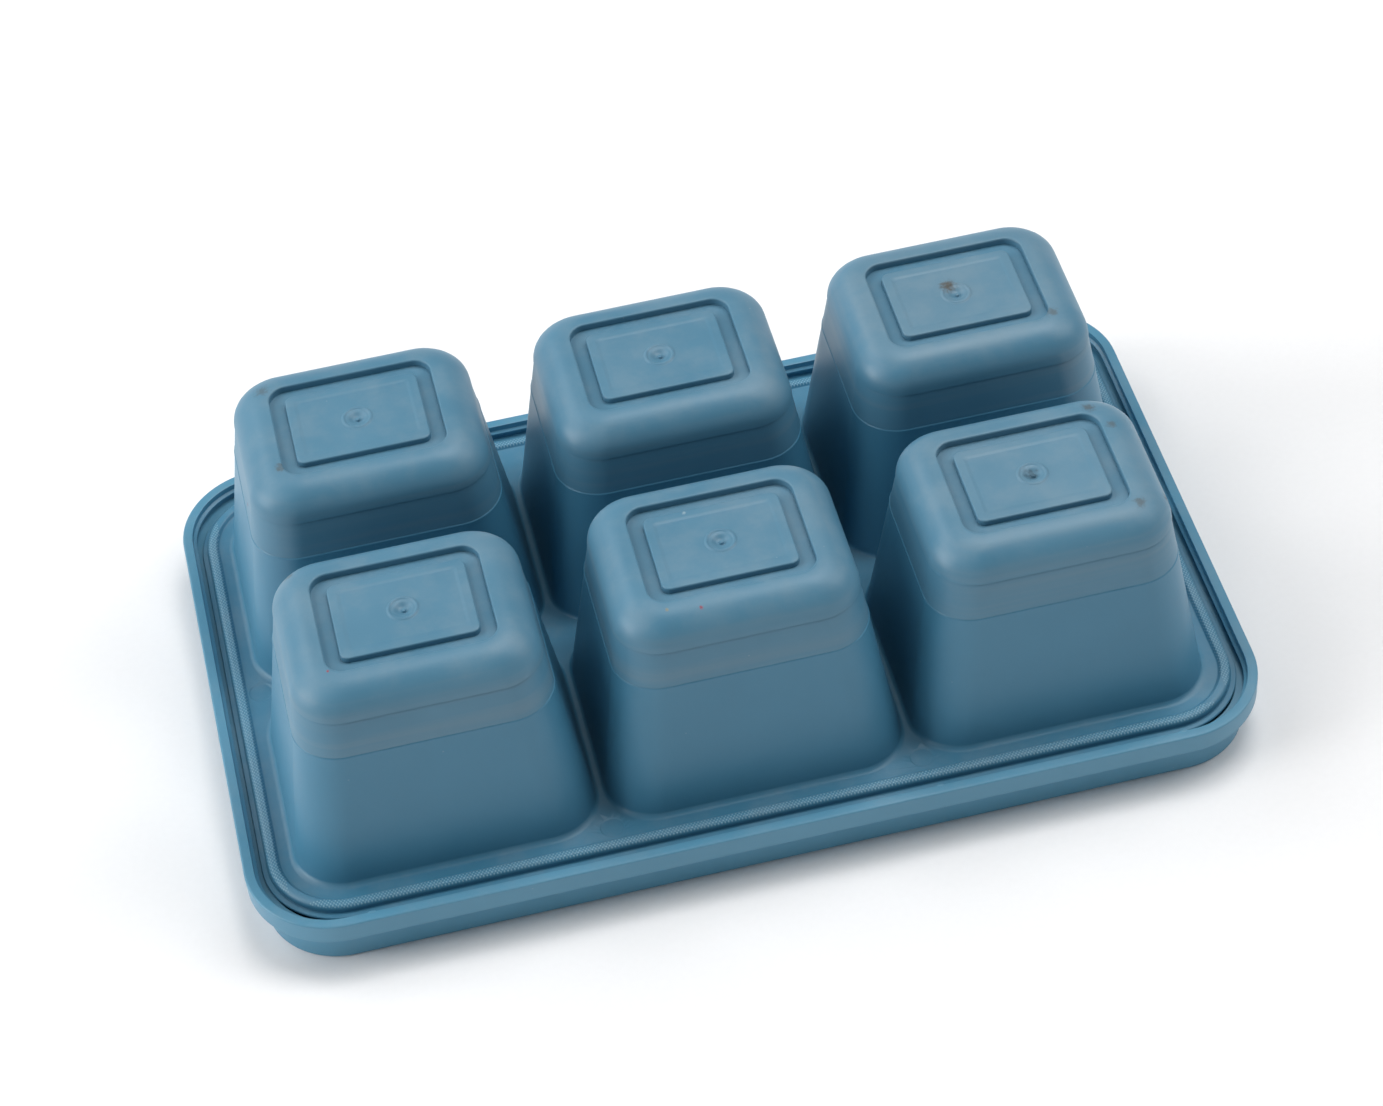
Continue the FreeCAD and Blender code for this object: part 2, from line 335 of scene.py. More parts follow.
def weld(pieces: Sequence[Piece], name: str) -> Piece:
    """Join several pieces into one mesh and merge the loops that they share.

    Args:
        pieces: The pieces to join.
        name: The joined piece's name.

    Returns:
        The joined piece.
    """
    deselect_all()
    for piece in pieces:
        piece.select_set(True)
    bpy.context.view_layer.objects.active = pieces[0]
    bpy.ops.object.join()
    joined = bpy.context.object
    joined.name = name
    joined.data.name = name
    with editing(joined):
        bpy.ops.mesh.remove_doubles(threshold=MERGE_GAP)
    return joined


def fill_between(piece: Piece, height: float) -> None:
    """Fill the level area between the open loops that lie at one height.

    Args:
        piece: The piece to fill.
        height: The loops' height in mm.
    """
    with editing(piece):
        bpy.ops.mesh.select_mode(type="EDGE")
        bpy.ops.mesh.select_all(action="DESELECT")
        sheet = bmesh.from_edit_mesh(piece.data)
        for edge in sheet.edges:
            level = all(abs(point.co.z - height * MM) < MERGE_GAP / 2 for point in edge.verts)
            if edge.is_boundary and level:
                edge.select = True
        bmesh.update_edit_mesh(piece.data)
        bpy.ops.mesh.fill(use_beauty=True)
        bpy.ops.mesh.select_mode(type="VERT")


def dress(piece: Piece, finish: Material, weighted: bool = True) -> None:
    """Turn a piece's faces outwards, shade it smoothly and give it its finish.

    Args:
        piece: The piece to dress.
        finish: Its material.
        weighted: True to let the large flats lead the shading of their edges.
    """
    with editing(piece):
        bpy.ops.mesh.normals_make_consistent(inside=False)
    bpy.ops.object.shade_smooth_by_angle(angle=SMOOTH_ANGLE)
    if weighted:
        modifier = piece.modifiers.new("flats", "WEIGHTED_NORMAL")
        modifier.keep_sharp = True
        bpy.ops.object.modifier_apply(modifier=modifier.name)
    piece.data.materials.append(finish)


def seat(piece: Piece, body: str, node: str) -> None:
    """Fix a piece to its body, in place of a node of the part.

    Args:
        piece: The finished piece.
        body: The body that it rides.
        node: The node whose place it takes.
    """
    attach(piece, body)
    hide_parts(node)


def copy_of(master: Piece, name: str, centre: Sequence[float]) -> Piece:
    """Copy a piece that was modelled about the middle to its own place.

    Args:
        master: The piece to copy.
        name: The copy's name.
        centre: The copy's centre in plan, in mm.

    Returns:
        The copy, with a mesh of its own.
    """
    copy = master.copy()
    copy.data = master.data.copy()
    copy.name = name
    copy.data.name = name
    copy.data.transform(Matrix.Translation(Vector((centre[0], centre[1], 0.0)) * MM))
    bpy.context.scene.collection.objects.link(copy)
    return copy


def discard(master: Piece) -> None:
    """Remove a piece that was only modelled to be copied."""
    mesh = master.data
    bpy.data.objects.remove(master)
    bpy.data.meshes.remove(mesh)


def cut_wedge(piece: Piece, point: Vector, normal: Vector) -> None:
    """Cut a piece along an upright plane and keep the side that the normal points to.

    Args:
        piece: The piece to cut.
        point: A point on the plane, in metres.
        normal: The plane's normal.
    """
    with editing(piece):
        bpy.ops.mesh.bisect(plane_co=point, plane_no=normal, clear_inner=True, use_fill=True)


# ---- finishes


class Board:
    """A node tree, with short calls that add its nodes and join them."""

    PER_ROW = 12
    SPACING = (220, -260)

    def __init__(self, tree: Tree) -> None:
        """Take the tree and start at its left."""
        self.tree = tree
        self.count = 0

    def add(self, kind: str, **settings: object) -> bpy.types.Node:
        """Add a node of that kind with those settings."""
        node = self.tree.nodes.new(kind)
        down, along = divmod(self.count, self.PER_ROW)
        node.location = (self.SPACING[0] * along, self.SPACING[1] * down)
        self.count += 1
        for key, value in settings.items():
            setattr(node, key, value)
        return node

    def feed(self, target: Socket, value: object) -> None:
        """Join a socket to another, or give it a plain value."""
        if isinstance(value, Socket):
            self.tree.links.new(value, target)
        else:
            target.default_value = value

    def math(self, operation: str, first: object, second: object = 0.0, third: object = 0.0,
             clamp: bool = False) -> Socket:
        """A Math node's result."""
        node = self.add("ShaderNodeMath", operation=operation, use_clamp=clamp)
        for socket, given in zip(node.inputs, (first, second, third)):
            self.feed(socket, given)
        return node.outputs[0]

    def noise(self, vector: Socket, scale: object, detail: float = 3.0, roughness: float = 0.5) -> Socket:
        """A Noise Texture's value."""
        node = self.add("ShaderNodeTexNoise")
        self.feed(node.inputs["Vector"], vector)
        self.feed(node.inputs["Scale"], scale)
        node.inputs["Detail"].default_value = detail
        node.inputs["Roughness"].default_value = roughness
        return node.outputs["Fac"]

    def spread(self, value: Socket, low: object, high: object, to_low: object = 0.0,
               to_high: object = 1.0) -> Socket:
        """A value spread smoothly between two limits."""
        node = self.add("ShaderNodeMapRange", interpolation_type="SMOOTHSTEP")
        for socket, given in zip(node.inputs, (value, low, high, to_low, to_high)):
            self.feed(socket, given)
        return node.outputs["Result"]

    def blend(self, amount: object, first: object, second: object, way: str = "MIX") -> Socket:
        """One colour mixed into another."""
        node = self.add("ShaderNodeMix", data_type="RGBA", blend_type=way)
        self.feed(node.inputs["Factor"], amount)
        for socket, given in zip((node.inputs[6], node.inputs[7]), (first, second)):
            self.feed(socket, (*given, 1.0) if isinstance(given, tuple) else given)
        return node.outputs[2]

    def stretched(self, vector: Socket, scale: Sequence[float], turn: float = 0.0) -> Socket:
        """A vector scaled along each axis and then turned about the upright one."""
        node = self.add("ShaderNodeMapping")
        self.feed(node.inputs["Vector"], vector)
        node.inputs["Scale"].default_value = scale
        node.inputs["Rotation"].default_value = (0.0, 0.0, turn)
        return node.outputs["Vector"]


def new_group(name: str, vectors: Sequence[str], values: dict[str, float],
              outputs: Sequence[str]) -> tuple[Board, dict, dict]:
    """Start a shader node group.

    Args:
        name: The group's name.
        vectors: The names of its vector inputs.
        values: The names of its single inputs, with their usual values.
        outputs: The names of its outputs, which are all single values.

    Returns:
        The group's board, its input sockets by name and its output sockets by name.
    """
    tree = bpy.data.node_groups.new(name, "ShaderNodeTree")
    for label in vectors:
        tree.interface.new_socket(name=label, in_out="INPUT", socket_type="NodeSocketVector")
    for label, value in values.items():
        socket = tree.interface.new_socket(name=label, in_out="INPUT", socket_type="NodeSocketFloat")
        socket.default_value = value
    for label in outputs:
        tree.interface.new_socket(name=label, in_out="OUTPUT", socket_type="NodeSocketFloat")
    board = Board(tree)
    entry = board.add("NodeGroupInput")
    leave = board.add("NodeGroupOutput")
    return (board, {label: entry.outputs[label] for label in (*vectors, *values)},
            {label: leave.inputs[label] for label in outputs})


def grain_group() -> Tree:
    """The fine skin of a moulding: a height, and a slow drift of tone."""
    board, given, results = new_group("moulded_grain", ("Vector",), {"Fine": 0.5}, ("Height", "Tone"))
    fine = board.noise(given["Vector"], 5200.0, 2.0)
    pebble = board.noise(given["Vector"], 1300.0, 2.0)
    swell = board.noise(given["Vector"], 85.0, 2.0)
    weighed = board.math("MULTIPLY", fine, given["Fine"])
    board.feed(results["Height"], board.math("MULTIPLY_ADD", pebble, 0.8, weighed))
    drift = board.noise(given["Vector"], 32.0, 3.0, 0.55)
    tone = board.math("ADD", board.math("MULTIPLY", swell, 0.35), board.math("MULTIPLY", drift, 0.65))
    board.feed(results["Tone"], tone)
    return board.tree


def dust_group() -> Tree:
    """Fine dust that settles on level faces, in clouds and in loose specks."""
    board, given, results = new_group("settled_dust", ("Vector",), {"Amount": 0.5}, ("Film", "Specks"))
    geometry = board.add("ShaderNodeNewGeometry")
    split = board.add("ShaderNodeSeparateXYZ")
    board.feed(split.inputs[0], geometry.outputs["Normal"])
    level = board.spread(split.outputs["Z"], 0.15, 0.95)
    clouds = board.spread(board.noise(given["Vector"], 140.0, 5.0, 0.62), 0.38, 0.72)
    film = board.math("MULTIPLY", board.math("MULTIPLY", clouds, level), given["Amount"])
    board.feed(results["Film"], film)
    cells = board.add("ShaderNodeTexVoronoi", feature="F1")
    board.feed(cells.inputs["Vector"], given["Vector"])
    cells.inputs["Scale"].default_value = 520.0
    near = board.spread(cells.outputs["Distance"], 0.10, 0.04)
    parts = board.add("ShaderNodeSeparateColor")
    board.feed(parts.inputs[0], cells.outputs["Color"])
    rare = board.math("GREATER_THAN", parts.outputs[0], 0.955)
    specks = board.math("MULTIPLY", board.math("MULTIPLY", near, rare), given["Amount"])
    board.feed(results["Specks"], specks)
    return board.tree


def smudge_and_shade_group() -> Tree:
    """A ragged-edged patch about one place, for rubbed-in grime, for flecks and for painted shade."""
    board, given, results = new_group(
        "smudge", ("Vector", "Place"), {"Radius": 0.002, "Strength": 1.0}, ("Mask",))
    away = board.add("ShaderNodeVectorMath", operation="DISTANCE")
    board.feed(away.inputs[0], given["Vector"])
    board.feed(away.inputs[1], given["Place"])
    reach = board.math("DIVIDE", away.outputs["Value"], given["Radius"])
    ragged = board.noise(given["Vector"], 1500.0, 4.0, 0.6)
    torn = board.math("ADD", reach, board.math("MULTIPLY", board.math("SUBTRACT", ragged, 0.5), 1.6))
    mask = board.spread(torn, 1.0, 0.1)
    board.feed(results["Mask"], board.math("MULTIPLY", mask, given["Strength"]))
    return board.tree


@dataclass(frozen=True)
class SmudgeAndShade:
    """A mark on the surface: grime, a fleck, or a patch of painted shade; its place and radius in mm, its
    strength and its colour.
    """

    place: tuple[float, float, float]
    radius: float
    strength: float
    colour: Colour = DIRT


@dataclass(frozen=True)
class MouldedFinish:
    """A satin moulded finish with its own grain, dust and marks, and, where asked, a painted highlight on the
    lip's traces and patches of painted shade.
    """

    name: str
    colour: Colour
    pale: Colour
    roughness: float
    dust: float
    grain: float
    smudges_and_shade: tuple[SmudgeAndShade, ...] = ()
    # Crossed tool traces along the lip: bumped in, and tinted pale as a painted highlight.
    tool_marks_and_highlight: bool = False
    rim_height: float = 0.0
    lip_along: float = 78.5
    lip_across: float = 45.8
    # How strongly the painted highlight tints the lip's traces.
    rib_highlight_share: float = 0.7
    rib_depth: float = 1.8
    streaks: float = 0.0

    def make(self, groups: dict[str, Tree]) -> Material:
        """Build the finish as a material.

        Args:
            groups: The shared node groups by name.

        Returns:
            The new material.
        """
        material = bpy.data.materials.new(self.name)
        material.use_nodes = True
        board = Board(material.node_tree)
        shader = material.node_tree.nodes["Principled BSDF"]
        place = board.add("ShaderNodeTexCoord").outputs["Object"]
        grain = self._group(board, groups["grain"], Vector=place, Fine=0.5)
        dust = self._group(board, groups["dust"], Vector=place, Amount=self.dust)

        tone = board.spread(grain.outputs["Tone"], 0.3, 0.7)
        colour = board.blend(tone, self.colour, self.pale)
        rib_marks_and_highlight = self._tool_marks_and_highlight(board, place) if self.tool_marks_and_highlight else None
        if rib_marks_and_highlight is not None:
            # Painted highlight: the lip's crossed traces are tinted pale where they catch the light.
            colour = board.blend(board.math("MULTIPLY", rib_marks_and_highlight, self.rib_highlight_share), colour, RIB_HIGHLIGHT_TINT)
        if self.streaks:
            level = board.noise(board.stretched(place, (12.0, 12.0, 420.0)), 1.0, 3.0)
            streaked = board.spread(level, 0.45, 0.75, 0.0, self.streaks)
            colour = board.blend(streaked, colour, STREAK_TINT)
        colour = board.blend(dust.outputs["Film"], colour, DUST_TINT)
        colour = board.blend(dust.outputs["Specks"], colour, SPECK_TINT)
        dirt_and_shade = None
        # Marks over the colour: rubbed-in grime and flecks, and one patch of painted shade that deepens the
        # front-right gate dimple.
        for smudge in self.smudges_and_shade:
            node = self._group(board, groups["smudge"], Vector=place,
                               Place=tuple(value * MM for value in smudge.place),
                               Radius=smudge.radius * MM, Strength=smudge.strength)
            mask = node.outputs["Mask"]
            colour = board.blend(mask, colour, smudge.colour)
            dirt_and_shade = mask if dirt_and_shade is None else board.math("MAXIMUM", dirt_and_shade, mask)
        board.feed(shader.inputs["Base Color"], colour)

        rough = board.spread(grain.outputs["Tone"], 0.25, 0.75, self.roughness - 0.05, self.roughness + 0.06)
        rough = board.math("ADD", rough, board.math("MULTIPLY", dust.outputs["Film"], 0.35), clamp=True)
        if dirt_and_shade is not None:
            rough = board.math("ADD", rough, board.math("MULTIPLY", dirt_and_shade, 0.3), clamp=True)
        board.feed(shader.inputs["Roughness"], rough)

        height = board.math("MULTIPLY", grain.outputs["Height"], self.grain)
        if rib_marks_and_highlight is not None:
            height = board.math("MULTIPLY_ADD", rib_marks_and_highlight, self.rib_depth, height)
        bump = board.add("ShaderNodeBump")
        bump.inputs["Strength"].default_value = 1.0
        bump.inputs["Distance"].default_value = 0.00002
        board.feed(bump.inputs["Height"], height)
        board.feed(shader.inputs["Normal"], bump.outputs["Normal"])
        shader.inputs["Specular IOR Level"].default_value = 0.5
        shader.inputs["IOR"].default_value = 1.49
        return material

    def _group(self, board: Board, tree: Tree, **values: object) -> bpy.types.Node:
        """Place a shared group with its own values."""
        node = board.add("ShaderNodeGroup", node_tree=tree)
        for key, value in values.items():
            board.feed(node.inputs[key], value)
        return node

    def _tool_marks_and_highlight(self, board: Board, place: Socket) -> Socket:
        """How strongly the cutter's crossed traces show, along the raised lip alone; the mask bumps the
        traces and also lays a painted highlight on them.
        """
        split = board.add("ShaderNodeSeparateXYZ")
        board.feed(split.inputs[0], place)
        rising = board.spread(split.outputs["Z"], self.rim_height * MM, (self.rim_height + 0.25) * MM)
        ending = board.spread(split.outputs["Z"], (self.rim_height + 0.7) * MM, (self.rim_height + 0.55) * MM)
        along = board.math("ABSOLUTE", split.outputs["X"])
        across = board.math("ABSOLUTE", split.outputs["Y"])
        outer = board.math("MAXIMUM", board.math("GREATER_THAN", along, self.lip_along * MM),
                           board.math("GREATER_THAN", across, self.lip_across * MM))
        lip = board.math("MULTIPLY", board.math("MULTIPLY", rising, ending), outer)
        crossed = None
        for turn in (math.radians(38), math.radians(-38)):
            wave = board.add("ShaderNodeTexWave", bands_direction="X")
            board.feed(wave.inputs["Vector"], board.stretched(place, (1.0, 1.0, 1.0), turn))
            wave.inputs["Scale"].default_value = 700.0
            wave.inputs["Distortion"].default_value = 0.6
            wave_now = wave.outputs["Fac"]
            crossed = wave_now if crossed is None else board.math("ADD", crossed, wave_now)
        return board.math("MULTIPLY", board.spread(crossed, 0.8, 1.7), lip)


# ---- the mould


@dataclass(frozen=True)
class Cup:
    """One cup of the grid: its row, its column and the sizes of its outside, in mm."""

    row: Row
    column: Column
    pitch_along: float = 51.5
    pitch_across: float = 44.6
    length: float = 50.0
    width: float = 42.8
    corner: float = 8.5
    draft: float = 0.148
    corner_draft: float = 0.027
    web_height: float = 9.3

    @property
    def label(self) -> str:
        """The cup's place as the part's nodes name it."""
        return f"{self.row.name.lower()}_{self.column.name.lower()}"

    @property
    def centre(self) -> tuple[float, float]:
        """The cup's centre in plan."""
        return (self.column.value * self.pitch_along, self.row.value * self.pitch_across / 2)

    def outside(self, height: float) -> Outline:
        """The cup's outline at a height."""
        rise = height - self.web_height
        return Outline.sized(self.length - 2 * self.draft * rise, self.width - 2 * self.draft * rise,
                             self.corner - self.corner_draft * rise)

    def foot(self, tight: float, wide: float) -> dict[str, float]:
        """How far each side's foot spreads: little towards a neighbour, more towards the lip."""
        return {
            "left": wide if self.column is Column.LEFT else tight,
            "right": wide if self.column is Column.RIGHT else tight,
            "front": wide if self.row is Row.FRONT else tight,
            "back": wide if self.row is Row.BACK else tight,
        }


def all_cups() -> list[Cup]:
    """The six cups, front row first."""
    return [Cup(row, column) for row in Row for column in Column]


@dataclass
class Lid:
    """The shallow lid that the tray stands in: set-in wall, upright band and floor."""

    finish: Material
    length: float = 170.0
    width: float = 105.6
    corner: float = 15.0
    height: float = 10.8
    floor: float = 1.4
    band_height: float = 3.85
    band_wall: float = 1.75
    band_step: float = 2.2
    wall: float = 1.5
    ledge: float = 7.9
    bead_height: float = 8.9
    bead_depth: float = 0.8
    bead_reach: float = 0.5
    foot_round: float = 0.6
    rim_round: float = 0.32
    floor_round: float = 0.8
    ledge_edge: float = 0.15
    edge: float = 0.22
    nick: float = 0.06
    burr_radius: float = 0.45
    burr_shape: tuple[float, float, float] = (1.6, 0.7, 0.35)
    burr_sink: float = 0.1
    burrs: tuple[tuple[float, float], ...] = ((-66.2, -51.15), (27.4, -51.15), (68.5, -51.15))

    def build(self) -> None:
        """Build the lid, from the middle of its underside round to its inner floor."""
        band = Outline.sized(self.length, self.width, self.corner)
        lower = band.inset(self.band_step)
        inside = band.inset(self.band_wall)
        pan = lower.inset(self.wall)
        under = self.height - self.band_height
        top = self.height
        bead_top = self.bead_height + self.bead_depth
        beaded = inside.inset(self.bead_reach)
        skin = Skin("lid_moulding", lower.inset(self.foot_round), 0.0, steps=20, capped=True)
        for turn in quarter_turn(4, 1):
            skin.level(lower.inset(self.foot_round * (1 - math.sin(turn))),
                       self.foot_round * (1 - math.cos(turn)))
        skin.levels(
            (lower, under - 0.25), (lower.inset(-0.08), under - self.nick),
            (lower.inset(-0.3), under), (band.inset(self.edge), under),
            (band.inset(self.nick), under + self.nick), (band, under + self.edge),
            (band, top - self.rim_round), (band.inset(0.04), top - 0.15),
            (band.inset(0.14), top - 0.04), (band.inset(self.rim_round), top),
            (inside.inset(-self.edge), top), (inside.inset(-self.nick), top - self.nick),
            (inside, top - self.edge), (inside, bead_top),
            (beaded, bead_top - 0.3), (beaded, self.bead_height + 0.2),
            (inside, self.bead_height), (inside, self.ledge),
            (pan.inset(-self.ledge_edge), self.ledge), (pan, self.ledge - self.ledge_edge),
            (pan, self.floor + self.floor_round), (pan.inset(0.25), self.floor + 0.25),
            (pan.inset(self.floor_round), self.floor))
        skin.cap()
        piece = weld([skin.done()] + [self._burr(place) for place in self.burrs], "lid_moulding")
        dress(piece, self.finish)
        seat(piece, "lid", "lid")
        LOG.info("lid: %d faces", len(piece.data.polygons))

    def _burr(self, place: tuple[float, float]) -> Piece:
        """A little torn flash left on the rim's inner edge."""
        deselect_all()
        bpy.ops.mesh.primitive_uv_sphere_add(segments=12, ring_count=8, radius=self.burr_radius * MM)
        burr = bpy.context.object
        burr.name = "burr"
        with editing(burr):
            bpy.ops.transform.resize(value=self.burr_shape, center_override=(0.0, 0.0, 0.0))
            bpy.ops.transform.translate(value=Vector((*place, self.height - self.burr_sink)) * MM)
        return burr


@dataclass
class TrayFrame:
    """The rigid tray: lip, flange, webs and the walls of the six cups."""

    cups: list[Cup]
    finish: Material
    length: float = 162.2
    width: float = 96.8
    corner: float = 12.5
    web_height: float = 9.3
    plate: float = 1.5
    lip_height: float = 9.9
    lip_width: float = 2.2
    lip_rise: float = 0.7
    lip_round: float = 0.9
    flange_reach: float = 1.0
    flange_seat: float = 7.95
    flange_depth: float = 0.45
    flange_root: float = 0.15
    flange_edge: float = 0.12
    cup_wall: float = 1.5
    foot_tight: float = 0.5
    foot_wide: float = 0.95
    foot_rise: float = 0.8
    seam_height: float = 35.6
    ridge: float = 0.12
    pin_marks: tuple[tuple[float, float], ...] = ((-25.5, -43.7), (26.5, -43.4), (-76.7, 1.4))
    pin_radius: float = 2.05
    pin_sink: float = 0.2
    pin_slope: float = 0.3

    def build(self) -> None:
        """Build the frame as one closed mesh."""
        parts = [self._perimeter()] + [self._cup(cup) for cup in self.cups]
        parts += [self._pin_mark(place) for place in self.pin_marks]
        piece = weld(parts, "tray_moulding")
        fill_between(piece, self.web_height)
        fill_between(piece, self.web_height - self.plate)
        dress(piece, self.finish)
        seat(piece, "tray", "tray_frame")
        LOG.info("tray: %d faces", len(piece.data.polygons))

    def _perimeter(self) -> Piece:
        """The lip and the flange, from the web's edge out and round to the underside."""
        tray = Outline.sized(self.length, self.width, self.corner)
        rise = self.lip_height - self.web_height
        skin = Skin("lip", tray.inset(self.lip_width), self.web_height, steps=20)
        for step in range(1, 7):
            turn = math.pi * step / 6
            skin.level(tray.inset(self.lip_width - self.lip_rise * step / 6),
                       self.web_height + rise * (1 - math.cos(turn)) / 2)
        for turn in quarter_turn(7):
            skin.level(tray.inset(self.lip_round * (1 - math.sin(turn))),
                       self.lip_height - self.lip_round * (1 - math.cos(turn)))
        top = self.flange_seat + self.flange_depth
        flange = tray.inset(-self.flange_reach)
        skin.levels(
            (tray, top + self.flange_root), (tray.inset(-self.flange_root), top),
            (flange.inset(self.flange_edge), top), (flange, top - self.flange_edge),
            (flange, self.flange_seat + 0.1), (flange.inset(0.1), self.flange_seat),
            (tray, self.flange_seat), (tray.inset(0.05), self.web_height - self.plate))
        return skin.done()

    def _pin_mark(self, place: tuple[float, float]) -> Piece:
        """The shallow round print that an ejector pin leaves in the web."""
        mark = Turned("pin_mark", self.pin_radius, self.web_height, place)
        mark.ring(self.pin_radius - 0.05, self.web_height - 0.03)
        mark.ring(self.pin_radius - self.pin_slope, self.web_height - self.pin_sink)
        return mark.done()

    def _cup(self, cup: Cup) -> Piece:
        """One cup's wall, from its foot up outside, over its end and down the inside."""
        base = cup.outside(self.web_height)
        skin = Skin(f"wall_{cup.label}", base.grown(**cup.foot(self.foot_tight, self.foot_wide)),
                    self.web_height, cup.centre, steps=12)
        for turn in quarter_turn(6, 1):
            left = 1 - math.sin(turn)
            height = self.web_height + self.foot_wide * self.foot_rise * (1 - math.cos(turn))
            spread = cup.foot(self.foot_tight * left, self.foot_wide * left)
            skin.level(cup.outside(height).grown(**spread), height)
        seam = self.seam_height
        for height in (16.0, 24.0, 31.0, seam - 1.6):
            skin.level(cup.outside(height), height)
        mouth = self.web_height - self.plate
        skin.levels(
            (cup.outside(seam - 0.25).inset(-self.ridge), seam - 0.25),
            (cup.outside(seam - 0.12).inset(-self.ridge * 0.9), seam - 0.12),
            (cup.outside(seam), seam), (cup.outside(seam).inset(self.cup_wall), seam),
            (cup.outside(mouth + 0.6).inset(self.cup_wall), mouth + 0.6),
            (cup.outside(mouth + 0.2).inset(self.cup_wall - 0.12), mouth + 0.15),
            (cup.outside(mouth).inset(self.cup_wall - 0.5), mouth))
        return skin.done()


@dataclass
class SoftBase:
    """A cup's soft end: wall, rounded shoulder and the crown round the pad."""

    finish: Material
    seam_height: float = 35.6
    middle_height: float = 39.0
    step_height: float = 42.5
    step_reach: float = 0.14
    step_groove: float = 0.12
    crown_height: float = 47.8
    crown: float = 2.0
    wall: float = 1.5
    shoulder: float = 4.5
    inner_round: float = 2.5
    corner_kept: float = 1.5
    moat_length: float = 27.4
    moat_width: float = 21.1
    moat_corner: float = 3.0
    edge: float = 0.3

    def build(self, cups: Sequence[Cup]) -> None:
        """Model the soft end once and set a copy on each cup.

        Args:
            cups: The cups to close.
        """
        master = self._model(cups[0])
        for cup in cups:
            piece = copy_of(master, f"soft_end_{cup.label}", cup.centre)
            seat(piece, "tray", f"soft_base_{cup.label}")
        LOG.info("soft ends: %d of %d faces", len(cups), len(master.data.polygons))
        discard(master)

    def _model(self, cup: Cup) -> Piece:
        """One soft end about the middle, as one closed mesh."""
        start = cup.outside(self.seam_height)
        skin = Skin("soft_end", start, self.seam_height, steps=12)
        skin.level(cup.outside(self.middle_height), self.middle_height)
        skin.level(cup.outside(self.step_height - 0.6), self.step_height - 0.6)
        for below in (0.3, 0.05):
            height = self.step_height - below
            skin.level(cup.outside(height).inset(self.step_groove), height)
        skin.level(cup.outside(self.step_height).inset(-self.step_reach), self.step_height + 0.02)
        shoulder_foot = self.crown_height - self.shoulder
        for turn in quarter_turn(9):
            height = shoulder_foot + self.shoulder * math.sin(turn)
            inset = self.shoulder * (1 - math.cos(turn)) - self.step_reach * math.cos(turn)
            skin.level(cup.outside(height).inset(inset, self._corner(cup, height, turn)), height)
        moat = Outline.sized(self.moat_length, self.moat_width, self.moat_corner)
        for turn in quarter_turn(4):
            skin.level(moat.inset(-self.edge * (1 - math.sin(turn))),
                       self.crown_height - self.edge * (1 - math.cos(turn)))
        ceiling = self.crown_height - self.crown
        skin.level(moat, ceiling)
        skin.level(moat.inset(-0.2), ceiling)
        for turn in reversed(quarter_turn(6)):
            height = ceiling - self.inner_round * (1 - math.sin(turn))
            inset = self.wall + self.inner_round * (1 - math.cos(turn))
            skin.level(cup.outside(height).inset(inset), height)
        skin.level(cup.outside(self.seam_height).inset(self.wall), self.seam_height)
        skin.level(start, self.seam_height)
        piece = skin.done()
        dress(piece, self.finish)
        return piece

    def _corner(self, cup: Cup, height: float, turn: float) -> float:
        """The shoulder's corner radius as it closes in towards the crown."""
        return cup.outside(height).corner - (self.shoulder - self.corner_kept) * (1 - math.cos(turn))


@dataclass
class PressPad:
    """The pad that the thumb pushes in: raised border, field and the gate's mark."""

    finish: Material
    length: float = 22.4
    width: float = 16.2
    corner: float = 1.4
    top: float = 47.6
    thickness: float = 2.0
    border: float = 1.6
    border_height: float = 0.12
    field_corner: float = 0.6
    edge: float = 0.3
    chamfer: float = 0.2
    gate_ring: float = 2.75
    ring_width: float = 0.9
    ring_height: float = 0.2
    dimple: float = 1.6
    dimple_depth: float = 0.5
    dimple_floor: float = 0.44
    nub: tuple[float, float] = (0.08, -0.2)
    nub_foot: float = 0.42
    nub_rings: tuple[tuple[float, float], ...] = ((0.34, 0.30), (0.26, 0.12), (0.12, 0.08))

    def build(self, cups: Sequence[Cup]) -> None:
        """Model the pad once and set a copy in each cup's end.

        Args:
            cups: The cups that get a pad.
        """
        master = self._model()
        for cup in cups:
            piece = copy_of(master, f"push_pad_{cup.label}", cup.centre)
            seat(piece, f"push_{cup.label}", f"press_pad_{cup.label}")
        LOG.info("push pads: %d of %d faces", len(cups), len(master.data.polygons))
        discard(master)

    def _model(self) -> Piece:
        """One pad about the middle, as one closed mesh."""
        outline = Outline.sized(self.length, self.width, self.corner)
        bottom = self.top - self.thickness
        field = self.top - self.border_height
        skin = Skin("push_pad", outline.inset(self.chamfer), bottom, steps=8, capped=True)
        skin.level(outline, bottom + self.chamfer)
        for turn in quarter_turn(4):
            skin.level(outline.inset(self.edge * (1 - math.cos(turn))),
                       self.top - self.edge * (1 - math.sin(turn)))
        for past, sunk in ((-0.3, 0.0), (-0.05, 0.2), (0.25, 0.75), (0.5, 1.0)):
            skin.level(outline.inset(self.border + past, self.field_corner),
                       self.top - self.border_height * sunk)
        bpy.ops.mesh.delete(type="ONLY_FACE")
        pad = skin.done()
        piece = weld([pad, self._gate(field)], pad.name)
        fill_between(piece, field)
        dress(piece, self.finish)
        return piece

    def _gate(self, field: float) -> Piece:
        """The soft ring and the dimple where the material ran in, with its broken nub."""
        feature = Turned("gate", self.gate_ring, field, (0.0, 0.0))
        for step in range(1, 9):
            turn = 2 * math.pi * step / 8
            feature.ring(self.gate_ring - self.ring_width * step / 8,
                         field + self.ring_height * (1 - math.cos(turn)) / 2)
        for part in (1.0, 0.8, 0.6, self.dimple_floor):
            sunk = (1 - part) / (1 - self.dimple_floor)
            feature.ring(self.dimple * part, field - self.dimple_depth * sunk)
        feature.ring(self.nub_foot, field - self.dimple_depth + 0.02, self.nub)
        for radius, depth in self.nub_rings:
            feature.ring(radius, field - depth)
        return feature.done()


